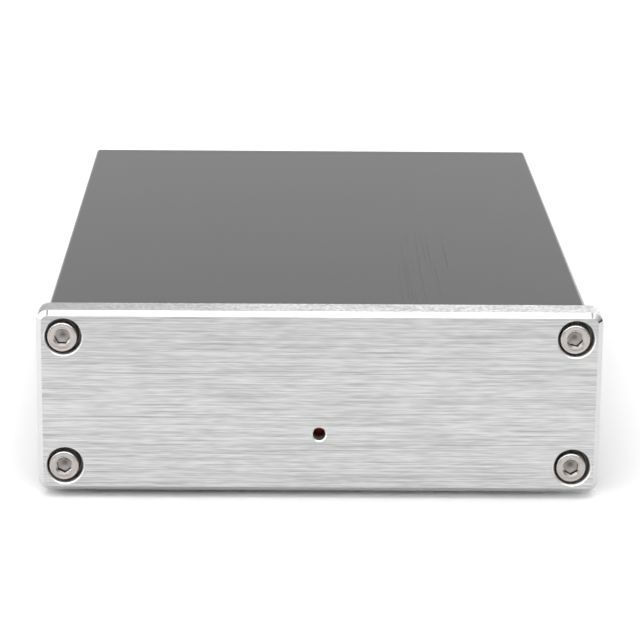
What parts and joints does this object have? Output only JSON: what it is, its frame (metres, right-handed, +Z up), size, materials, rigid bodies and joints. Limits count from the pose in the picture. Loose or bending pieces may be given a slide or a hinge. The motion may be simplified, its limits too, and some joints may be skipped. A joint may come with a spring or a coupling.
{
  "type": "desktop dac",
  "caption": "Small desktop audio converter: a thick brushed aluminium front panel with one lamp, on a dark split extruded case with sockets and a power switch behind.",
  "frame": {"origin": "middle of the footprint, on the plane that the rubber feet stand on", "axes": "+Z up, -Y out of the front panel, +Y out of the rear sockets, +X to the right of someone facing the front"},
  "size_m": [0.1034, 0.1649, 0.0357],
  "materials": {
    "brushed_aluminium": "horizontally brushed and clear anodised, with bright machined edges",
    "dark_anodised": "fine matt, dark grey anodised extrusion",
    "stainless": "turned stainless steel",
    "black_oxide": "black oxide",
    "black_rubber": "matt moulded rubber",
    "board_laminate": "green solder mask over glass laminate",
    "tinned_metal": "tinned, slightly dull",
    "red_lens": "diffused red resin",
    "black_plastic": "fine moulded texture",
    "white_plastic": "moulded, satin",
    "red_plastic": "moulded, satin",
    "orange_plastic": "moulded, satin",
    "grey_plastic": "moulded, satin",
    "blue_plastic": "moulded, satin",
    "yellow_plastic": "moulded, satin",
    "gold_plate": "thin gold plate over brass",
    "plated_steel": "bright nickel plate",
    "can_sleeve": "shrunk sleeve over an aluminium can, bare top",
    "chip_black": "moulded epoxy",
    "black_anodised": "black anodised extrusion",
    "ferrite": "sintered ferrite",
    "copper": "enamelled copper wire",
    "film_red": "dipped epoxy box",
    "ceramic_brown": "sintered ceramic with tinned ends"
  },
  "bodies": {
    "root": {"bottom_shell": "dark_anodised", "chip_legs": "tinned_metal", "choke_bobbin": "ferrite", "choke_winding": "copper", "clock_crystals": "plated_steel", "coax_block": "black_plastic", "coax_insert": "orange_plastic", "coax_receiver_chip": "chip_black", "component_leads": "tinned_metal", "control_chip": "chip_black", "dac_chip": "chip_black", "dc_inlet": "black_plastic", "dc_pin": "plated_steel", "dc_spring": "plated_steel", "film_capacitors": "film_red", "front_panel": "brushed_aluminium", "front_screws": "stainless", "led_leads": "tinned_metal", "led_lens": "red_lens", "main_board": "board_laminate", "opamp_sockets": "black_plastic", "opamps": "chip_black", "output_relay": "yellow_plastic", "phono_barrels": "gold_plate", "phono_contacts": "gold_plate", "rca_left_block": "black_plastic", "rca_left_insert": "white_plastic", "rca_right_block": "black_plastic", "rca_right_insert": "red_plastic", "rear_panel": "dark_anodised", "rear_screws": "black_oxide", "rectifier_diodes": "chip_black", "regulator_heatsinks": "black_anodised", "regulators": "chip_black", "rubber_feet": "black_rubber", "setup_header": "black_plastic", "signal_capacitors": "can_sleeve", "supply_capacitors": "can_sleeve", "surface_mount_parts": "ceramic_brown", "switch_body": "blue_plastic", "switch_bushing": "plated_steel", "switch_nut": "plated_steel", "switch_washer": "plated_steel", "top_shell": "dark_anodised", "toslink_housing": "black_plastic", "toslink_receiver": "red_lens", "usb_chip": "chip_black", "usb_contacts": "gold_plate", "usb_insert": "white_plastic", "usb_shell": "plated_steel"},
    "power_lever": {"switch_lever": "plated_steel"},
    "optical_flap": {"toslink_shutter": "grey_plastic"}
  },
  "joints": [
    {"name": "power_switch_lever", "type": "hinge", "parent": "root", "child": "power_lever", "pos_m": [-0.031, 0.06915, 0.0178], "axis": [1, 0, 0], "range_deg": [0, 25]},
    {"name": "toslink_shutter", "type": "hinge", "parent": "root", "child": "optical_flap", "pos_m": [-0.005, 0.06635, 0.01965], "axis": [-1, 0, 0], "range_deg": [0, 80], "stiffness_Nm_per_rad": 0.0002, "springref_deg": -17.19}
  ]
}
